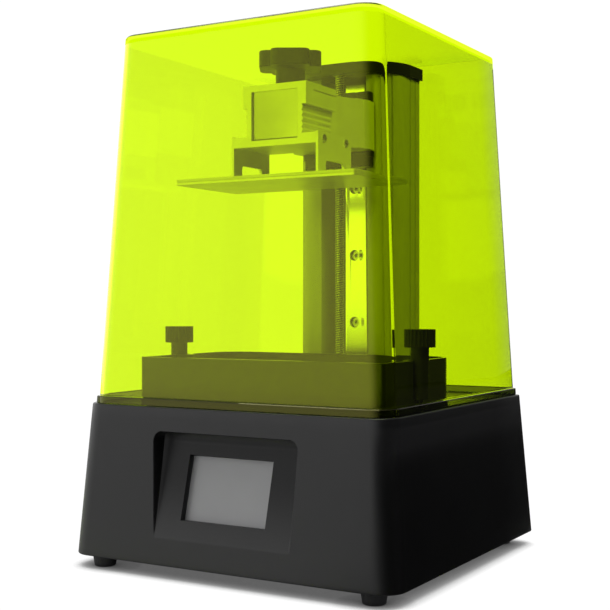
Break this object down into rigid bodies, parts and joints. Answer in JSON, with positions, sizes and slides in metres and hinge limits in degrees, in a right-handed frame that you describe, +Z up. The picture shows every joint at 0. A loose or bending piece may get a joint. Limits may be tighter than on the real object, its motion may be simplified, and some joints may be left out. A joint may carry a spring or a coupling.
{
  "type": "resin printer",
  "caption": "Desktop resin printer with a black base and touch screen, resin vat, vertical screw-driven build platform and a lift-off lime tinted cover.",
  "frame": {"origin": "centre of the footprint on the table plane, under the feet", "axes": "+X to the right seen from the front, the touch screen faces -Y, +Z up"},
  "size_m": [0.29, 0.2784, 0.4264],
  "materials": {
    "base_plastic": "fine matte texture",
    "dark_metal": "black powder coat",
    "black_plastic": "smooth satin",
    "rubber": "matte",
    "steel": "plated",
    "rail_steel": "ground",
    "alloy": "fine blasted, clear anodised",
    "grey_alloy": "anodised grey",
    "brass": "turned",
    "circuit_board": "green solder mask",
    "dark_glass": "polished black glass",
    "screen": "satin touch surface, display off",
    "lens": "clear moulded lens",
    "film": "clear release film",
    "ribbon": "amber flexible circuit",
    "tinted_acrylic": "clear lime tinted acrylic"
  },
  "bodies": {
    "base": {"base_shell": "base_plastic", "bottom_plate": "dark_metal", "bottom_screws": "steel", "rubber_feet": "rubber", "deck_plate": "dark_metal", "deck_screws": "steel", "screw_inserts": "brass", "lcd_panel": "dark_glass", "lcd_cover_glass": "dark_glass", "light_box": "black_plastic", "led_board": "circuit_board", "led_lenses": "lens", "heat_sink": "alloy", "fan_frame": "black_plastic", "mainboard": "circuit_board", "board_posts": "brass", "rear_panel": "dark_metal", "rear_panel_screws": "steel", "power_socket": "black_plastic", "switch_body": "black_plastic", "usb_socket": "steel", "touch_panel": "screen", "touch_frame": "black_plastic", "display_board": "circuit_board", "lcd_ribbon": "ribbon", "z_column": "grey_alloy", "column_cap": "black_plastic", "linear_rail": "rail_steel", "rail_screws": "steel", "stepper_motor": "dark_metal", "motor_posts": "steel", "end_stop": "black_plastic", "screw_bearing": "steel", "column_screws": "steel"},
    "hood": {"hood": "tinted_acrylic"},
    "vat": {"vat_tray": "base_plastic", "vat_film": "film", "film_frame": "grey_alloy", "film_screws": "steel"},
    "thumbscrew_left": {"thumbscrew_left": "black_plastic"},
    "thumbscrew_right": {"thumbscrew_right": "black_plastic"},
    "z_carriage": {"guide_block": "rail_steel", "guide_block_caps": "black_plastic", "carriage_arm": "alloy", "arm_upper_cover": "black_plastic", "arm_lower_cover": "black_plastic", "arm_screws": "steel", "lead_nut": "brass"},
    "lead_screw": {"lead_screw": "steel", "motor_shaft": "steel", "shaft_coupler": "alloy"},
    "build_head": {"platform_head": "alloy", "platform_brackets": "alloy", "bracket_screws": "steel", "platform_plate": "grey_alloy", "platform_surface": "alloy"},
    "clamp_knob": {"clamp_knob": "black_plastic", "knob_stud": "steel"},
    "fan_rotor": {"fan_rotor": "black_plastic"},
    "power_rocker": {"power_rocker": "black_plastic"}
  },
  "joints": [
    {"name": "hood_lift", "type": "slide", "parent": "base", "child": "hood", "axis": [0, 0, 1], "range_m": [0, 0.32]},
    {"name": "vat_lift", "type": "slide", "parent": "base", "child": "vat", "axis": [0, 0, 1], "range_m": [0, 0.033]},
    {"name": "thumbscrew_left_turn", "type": "hinge", "parent": "vat", "child": "thumbscrew_left", "pos_m": [-0.113, -0.032, 0.15], "axis": [0, 0, 1], "continuous": true},
    {"name": "thumbscrew_right_turn", "type": "hinge", "parent": "vat", "child": "thumbscrew_right", "pos_m": [0.113, -0.032, 0.15], "axis": [0, 0, 1], "continuous": true},
    {"name": "z_travel", "type": "slide", "parent": "base", "child": "z_carriage", "axis": [0, 0, 1], "range_m": [-0.173, 0]},
    {"name": "screw_turn", "type": "hinge", "parent": "base", "child": "lead_screw", "pos_m": [0, 0.05, 0.2], "axis": [0, 0, 1], "range_deg": [-15572, 2]},
    {"name": "platform_slide", "type": "slide", "parent": "z_carriage", "child": "build_head", "axis": [0, -1, 0], "range_m": [0, 0.032]},
    {"name": "knob_turn", "type": "hinge", "parent": "build_head", "child": "clamp_knob", "pos_m": [0, -0.0335, 0.4], "axis": [0, 0, 1], "continuous": true},
    {"name": "fan_spin", "type": "hinge", "parent": "base", "child": "fan_rotor", "pos_m": [0.058, 0.12603, 0.06724], "axis": [0, 0.9976, 0.0688], "continuous": true},
    {"name": "rocker_tilt", "type": "hinge", "parent": "base", "child": "power_rocker", "pos_m": [-0.072, 0.13262, 0.0677], "axis": [1, 0, 0], "range_deg": [-14, 0]}
  ],
  "couplings": [
    {"joint": "screw_turn", "follows": "z_travel", "rad_per_m": 1570.8}
  ]
}
